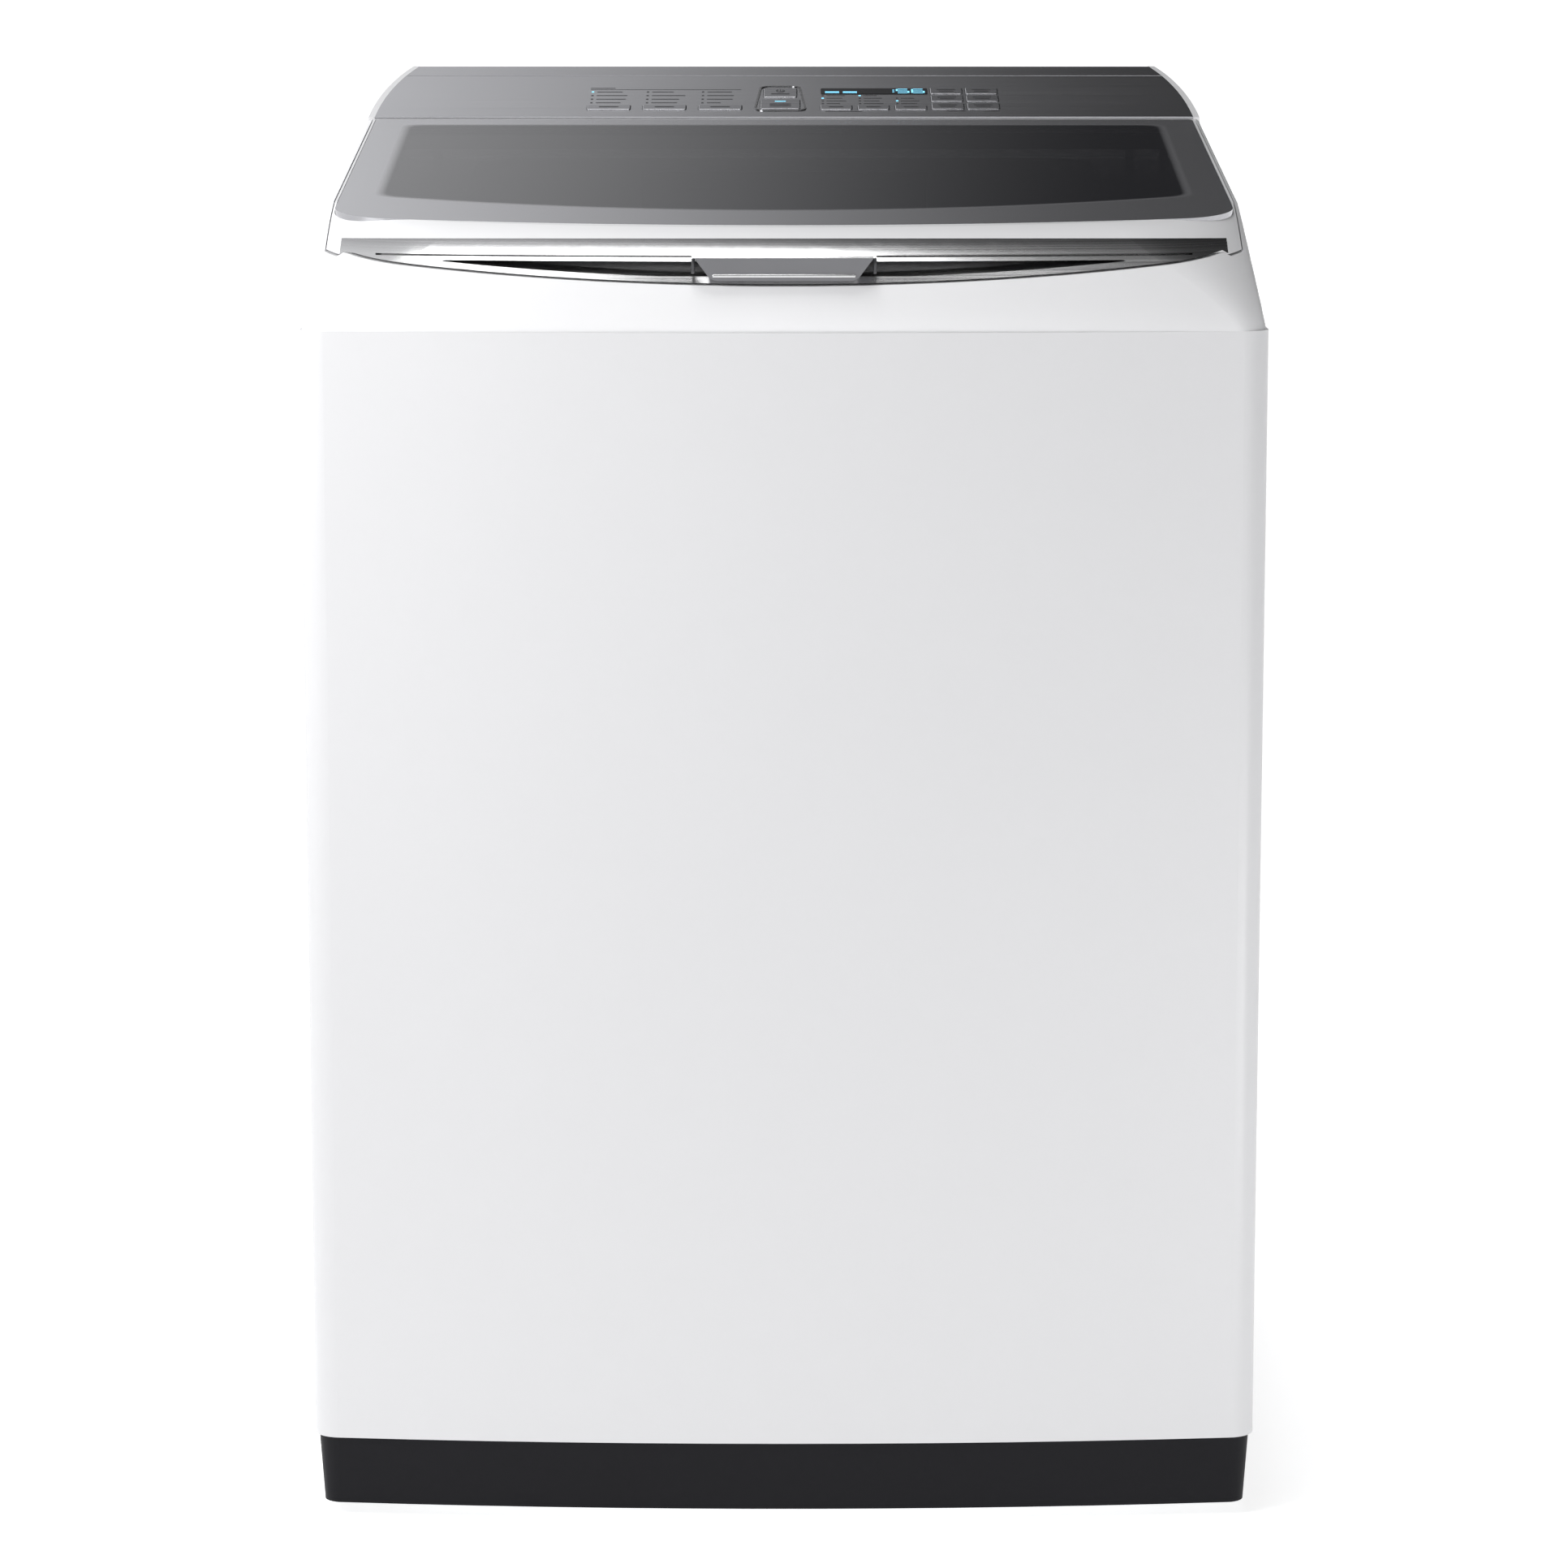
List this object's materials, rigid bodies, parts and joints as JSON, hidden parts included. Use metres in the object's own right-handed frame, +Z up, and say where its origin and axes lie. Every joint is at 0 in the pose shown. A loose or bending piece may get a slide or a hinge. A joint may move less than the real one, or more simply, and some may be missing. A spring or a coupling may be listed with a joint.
{
  "type": "top load washing machine",
  "caption": "Free-standing top load washing machine with a hinged glass lid, sloping key console, detergent drawer, sprung tub, spinning basket and pulsator.",
  "frame": {"origin": "on the floor, under the middle of the machine's outline", "axes": "+Z up, -Y towards the user, +X to the user's right"},
  "size_m": [0.686, 0.744, 1.0285],
  "materials": {
    "white_enamel": "gloss white enamel with a fine orange peel",
    "galvanised_steel": "zinc-coated sheet",
    "zinc_steel": "bright zinc plating",
    "plinth_plastic": "fine-grained near-black moulding",
    "white_plastic": "gloss white moulding",
    "lid_glass": "smoked tempered glass with a grey printed border",
    "inner_plastic": "grey moulding",
    "bright_trim": "satin bright plating",
    "smoky_handle": "smoky metallic moulding",
    "brushed_grey": "dark brushed metal, grain left to right",
    "smoked_lens": "black lens with a lit display",
    "key_grey": "satin grey key",
    "circuit_board": "green lacquered board with parts",
    "dispenser_plastic": "dark grey moulding",
    "drawer_plastic": "dark grey moulding",
    "port_plastic": "black moulding",
    "tub_plastic": "glass-filled grey moulding",
    "cast_aluminium": "die cast",
    "bearing_steel": "ground steel",
    "stator_core": "lacquered windings and core",
    "spring_steel": "oiled spring steel",
    "stainless_basket": "perforated stainless steel",
    "pulsator_plastic": "pale grey moulding",
    "foot_plastic": "hard black pad"
  },
  "bodies": {
    "cabinet": {"cabinet_shell": "white_enamel", "rear_panel": "galvanised_steel", "rear_screws": "zinc_steel", "plinth": "plinth_plastic", "base_frame": "galvanised_steel", "foot_nuts": "zinc_steel", "top_cover": "white_plastic", "hinge_pins": "zinc_steel", "lid_lock": "port_plastic", "console_housing": "white_plastic", "console_fascia": "brushed_grey", "console_top_strip": "brushed_grey", "display_window": "smoked_lens", "power_ring": "bright_trim", "control_board": "circuit_board", "dispenser_housing": "dispenser_plastic", "inlet_valve": "port_plastic", "drain_port": "port_plastic", "cord_gland": "port_plastic", "corner_braces": "galvanised_steel", "suspension_rods": "zinc_steel"},
    "lid": {"lid_frame": "white_plastic", "lid_glass": "lid_glass", "lid_inner_frame": "inner_plastic", "lid_trim": "bright_trim", "lid_handle": "smoky_handle", "hinge_arms": "zinc_steel"},
    "drawer": {"detergent_drawer": "drawer_plastic"},
    "tub": {"outer_tub": "tub_plastic", "tub_cover": "tub_plastic", "bearing_housing": "cast_aluminium", "shaft_bearings": "bearing_steel", "motor_stator": "stator_core", "drain_pump": "port_plastic", "suspension_springs": "spring_steel"},
    "basket": {"basket": "stainless_basket", "basket_hub": "cast_aluminium", "balance_ring": "tub_plastic"},
    "pulsator": {"pulsator": "pulsator_plastic", "pulsator_cap": "pulsator_plastic", "wash_shaft": "bearing_steel", "motor_rotor": "galvanised_steel"},
    "cycle_key_1": {"cycle_key_1": "key_grey"},
    "cycle_key_2": {"cycle_key_2": "key_grey"},
    "cycle_key_3": {"cycle_key_3": "key_grey"},
    "power_key": {"power_key": "key_grey"},
    "start_key": {"start_key": "key_grey"},
    "option_key_1": {"option_key_1": "key_grey"},
    "option_key_2": {"option_key_2": "key_grey"},
    "option_key_3": {"option_key_3": "key_grey"},
    "setting_key_1": {"setting_key_1": "key_grey"},
    "setting_key_2": {"setting_key_2": "key_grey"},
    "setting_key_3": {"setting_key_3": "key_grey"},
    "setting_key_4": {"setting_key_4": "key_grey"},
    "setting_key_5": {"setting_key_5": "key_grey"},
    "setting_key_6": {"setting_key_6": "key_grey"},
    "foot_front_left": {"foot_front_left": "foot_plastic"},
    "foot_front_right": {"foot_front_right": "foot_plastic"},
    "foot_rear_left": {"foot_rear_left": "foot_plastic"},
    "foot_rear_right": {"foot_rear_right": "foot_plastic"}
  },
  "joints": [
    {"name": "lid_hinge", "type": "hinge", "parent": "cabinet", "child": "lid", "pos_m": [0, 0.184, 0.98335], "axis": [-1, 0, 0], "range_deg": [0, 100]},
    {"name": "drawer_slide", "type": "slide", "parent": "cabinet", "child": "drawer", "axis": [0, -1, 0], "range_m": [0, 0.13]},
    {"name": "tub_suspension", "type": "slide", "parent": "cabinet", "child": "tub", "axis": [0, 0, 1], "range_m": [-0.025, 0.008], "stiffness_N_per_m": 16000, "springref_m": 0.0221, "deforming": ["suspension_springs"]},
    {"name": "basket_spin", "type": "hinge", "parent": "tub", "child": "basket", "pos_m": [0, -0.008, 0.315], "axis": [0, 0, 1], "continuous": true},
    {"name": "pulsator_spin", "type": "hinge", "parent": "tub", "child": "pulsator", "pos_m": [0, -0.008, 0.322], "axis": [0, 0, 1], "continuous": true},
    {"name": "cycle_key_1_press", "type": "slide", "parent": "cabinet", "child": "cycle_key_1", "axis": [0, 0.1959, -0.9806], "range_m": [0, 0.001], "stiffness_N_per_m": 400, "springref_m": -0.0005},
    {"name": "cycle_key_2_press", "type": "slide", "parent": "cabinet", "child": "cycle_key_2", "axis": [0, 0.1959, -0.9806], "range_m": [0, 0.001], "stiffness_N_per_m": 400, "springref_m": -0.0005},
    {"name": "cycle_key_3_press", "type": "slide", "parent": "cabinet", "child": "cycle_key_3", "axis": [0, 0.1959, -0.9806], "range_m": [0, 0.001], "stiffness_N_per_m": 400, "springref_m": -0.0005},
    {"name": "power_key_press", "type": "slide", "parent": "cabinet", "child": "power_key", "axis": [0, 0.1959, -0.9806], "range_m": [0, 0.001], "stiffness_N_per_m": 400, "springref_m": -0.0005},
    {"name": "start_key_press", "type": "slide", "parent": "cabinet", "child": "start_key", "axis": [0, 0.1959, -0.9806], "range_m": [0, 0.001], "stiffness_N_per_m": 400, "springref_m": -0.0005},
    {"name": "option_key_1_press", "type": "slide", "parent": "cabinet", "child": "option_key_1", "axis": [0, 0.1959, -0.9806], "range_m": [0, 0.001], "stiffness_N_per_m": 400, "springref_m": -0.0005},
    {"name": "option_key_2_press", "type": "slide", "parent": "cabinet", "child": "option_key_2", "axis": [0, 0.1959, -0.9806], "range_m": [0, 0.001], "stiffness_N_per_m": 400, "springref_m": -0.0005},
    {"name": "option_key_3_press", "type": "slide", "parent": "cabinet", "child": "option_key_3", "axis": [0, 0.1959, -0.9806], "range_m": [0, 0.001], "stiffness_N_per_m": 400, "springref_m": -0.0005},
    {"name": "setting_key_1_press", "type": "slide", "parent": "cabinet", "child": "setting_key_1", "axis": [0, 0.1959, -0.9806], "range_m": [0, 0.001], "stiffness_N_per_m": 400, "springref_m": -0.0005},
    {"name": "setting_key_2_press", "type": "slide", "parent": "cabinet", "child": "setting_key_2", "axis": [0, 0.1959, -0.9806], "range_m": [0, 0.001], "stiffness_N_per_m": 400, "springref_m": -0.0005},
    {"name": "setting_key_3_press", "type": "slide", "parent": "cabinet", "child": "setting_key_3", "axis": [0, 0.1959, -0.9806], "range_m": [0, 0.001], "stiffness_N_per_m": 400, "springref_m": -0.0005},
    {"name": "setting_key_4_press", "type": "slide", "parent": "cabinet", "child": "setting_key_4", "axis": [0, 0.1959, -0.9806], "range_m": [0, 0.001], "stiffness_N_per_m": 400, "springref_m": -0.0005},
    {"name": "setting_key_5_press", "type": "slide", "parent": "cabinet", "child": "setting_key_5", "axis": [0, 0.1959, -0.9806], "range_m": [0, 0.001], "stiffness_N_per_m": 400, "springref_m": -0.0005},
    {"name": "setting_key_6_press", "type": "slide", "parent": "cabinet", "child": "setting_key_6", "axis": [0, 0.1959, -0.9806], "range_m": [0, 0.001], "stiffness_N_per_m": 400, "springref_m": -0.0005},
    {"name": "foot_front_left_screw", "type": "slide", "parent": "cabinet", "child": "foot_front_left", "axis": [0, 0, 1], "range_m": [-0.012, 0]},
    {"name": "foot_front_right_screw", "type": "slide", "parent": "cabinet", "child": "foot_front_right", "axis": [0, 0, 1], "range_m": [-0.012, 0]},
    {"name": "foot_rear_left_screw", "type": "slide", "parent": "cabinet", "child": "foot_rear_left", "axis": [0, 0, 1], "range_m": [-0.012, 0]},
    {"name": "foot_rear_right_screw", "type": "slide", "parent": "cabinet", "child": "foot_rear_right", "axis": [0, 0, 1], "range_m": [-0.012, 0]}
  ]
}
